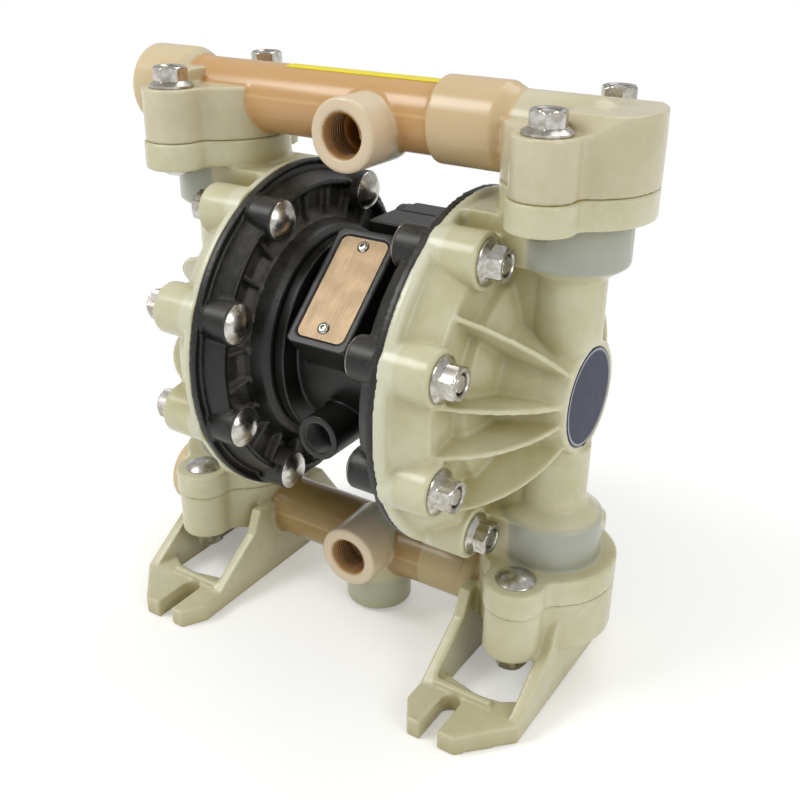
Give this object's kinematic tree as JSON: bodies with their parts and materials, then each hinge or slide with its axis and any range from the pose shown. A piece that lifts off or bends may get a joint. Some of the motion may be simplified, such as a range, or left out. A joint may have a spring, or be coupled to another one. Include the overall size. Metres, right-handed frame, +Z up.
{
  "type": "air operated diaphragm pump",
  "caption": "Air operated double diaphragm pump in translucent plastic with a black air section, manifolds, feet, sliding shaft and ball check valves.",
  "frame": {"origin": "on the floor plane under the middle of the pump, midway between the feet and below the shaft's centre", "axes": "+X along the diaphragm shaft to the right, away from the manifold end ports; -Y is the front with the fluid ports, exhaust port and nameplate; +Z up"},
  "size_m": [0.288, 0.186, 0.3035],
  "materials": {
    "clear_polypropylene": "translucent moulded",
    "stained_polypropylene": "translucent moulded, stained by the fluid",
    "zinc_steel": "zinc plated",
    "navy_badge": "printed film, plain",
    "yellow_label": "printed film, plain",
    "brushed_plate": "brushed",
    "seat_polymer": "machined",
    "ball_elastomer": "moulded",
    "seal_rubber": "moulded",
    "diaphragm_ptfe": "moulded",
    "acetal": "machined",
    "black_polypropylene": "moulded, fibre filled"
  },
  "bodies": {
    "body": {"centre_housing": "black_polypropylene", "inlet_manifold": "stained_polypropylene", "inlet_manifold_bolts": "zinc_steel", "inlet_manifold_nuts": "zinc_steel", "left_air_cover": "black_polypropylene", "left_badge": "navy_badge", "left_cover_bolts": "zinc_steel", "left_cover_nuts": "zinc_steel", "left_diaphragm": "diaphragm_ptfe", "left_fluid_cover": "clear_polypropylene", "left_foot": "stained_polypropylene", "left_housing_gasket": "seal_rubber", "left_housing_screws": "zinc_steel", "left_inlet_seal": "seal_rubber", "left_inlet_seat": "seat_polymer", "left_outlet_seal": "seal_rubber", "left_outlet_seat": "seat_polymer", "left_shaft_bearing": "acetal", "left_shaft_seal": "seal_rubber", "left_valve_cap": "black_polypropylene", "nameplate": "brushed_plate", "nameplate_screws": "zinc_steel", "outlet_manifold": "stained_polypropylene", "outlet_manifold_bolts": "zinc_steel", "outlet_manifold_nuts": "zinc_steel", "pipe_label": "yellow_label", "right_air_cover": "black_polypropylene", "right_badge": "navy_badge", "right_cover_bolts": "zinc_steel", "right_cover_nuts": "zinc_steel", "right_diaphragm": "diaphragm_ptfe", "right_fluid_cover": "clear_polypropylene", "right_foot": "stained_polypropylene", "right_housing_gasket": "seal_rubber", "right_housing_screws": "zinc_steel", "right_inlet_seal": "seal_rubber", "right_inlet_seat": "seat_polymer", "right_outlet_seal": "seal_rubber", "right_outlet_seat": "seat_polymer", "right_shaft_bearing": "acetal", "right_shaft_seal": "seal_rubber", "right_valve_cap": "black_polypropylene", "valve_body": "black_polypropylene", "valve_gasket": "seal_rubber", "valve_screws": "zinc_steel"},
    "shaft": {"diaphragm_shaft": "zinc_steel", "right_air_side_plate": "zinc_steel", "right_fluid_side_plate": "seat_polymer", "right_plate_bolt": "zinc_steel", "left_air_side_plate": "zinc_steel", "left_fluid_side_plate": "seat_polymer", "left_plate_bolt": "zinc_steel"},
    "right_pin": {"right_pilot_pin": "zinc_steel"},
    "left_pin": {"left_pilot_pin": "zinc_steel"},
    "spool": {"valve_spool": "acetal"},
    "right_outlet_ball": {"right_outlet_ball": "ball_elastomer"},
    "right_inlet_ball": {"right_inlet_ball": "ball_elastomer"},
    "left_outlet_ball": {"left_outlet_ball": "ball_elastomer"},
    "left_inlet_ball": {"left_inlet_ball": "ball_elastomer"}
  },
  "joints": [
    {"name": "shaft_slide", "type": "slide", "parent": "body", "child": "shaft", "axis": [1, 0, 0], "range_m": [-0.007, 0.007], "deforming": ["right_diaphragm", "left_diaphragm"]},
    {"name": "spool_shift", "type": "slide", "parent": "body", "child": "spool", "axis": [1, 0, 0], "range_m": [-0.006, 0.006]},
    {"name": "right_pin_push", "type": "slide", "parent": "body", "child": "right_pin", "axis": [1, 0, 0], "range_m": [-0.003, 0]},
    {"name": "left_pin_push", "type": "slide", "parent": "body", "child": "left_pin", "axis": [-1, 0, 0], "range_m": [-0.003, 0]},
    {"name": "right_outlet_ball_lift", "type": "slide", "parent": "body", "child": "right_outlet_ball", "axis": [0, 0, 1], "range_m": [0, 0.006]},
    {"name": "right_inlet_ball_lift", "type": "slide", "parent": "body", "child": "right_inlet_ball", "axis": [0, 0, 1], "range_m": [0, 0.006]},
    {"name": "left_outlet_ball_lift", "type": "slide", "parent": "body", "child": "left_outlet_ball", "axis": [0, 0, 1], "range_m": [0, 0.006]},
    {"name": "left_inlet_ball_lift", "type": "slide", "parent": "body", "child": "left_inlet_ball", "axis": [0, 0, 1], "range_m": [0, 0.006]}
  ]
}
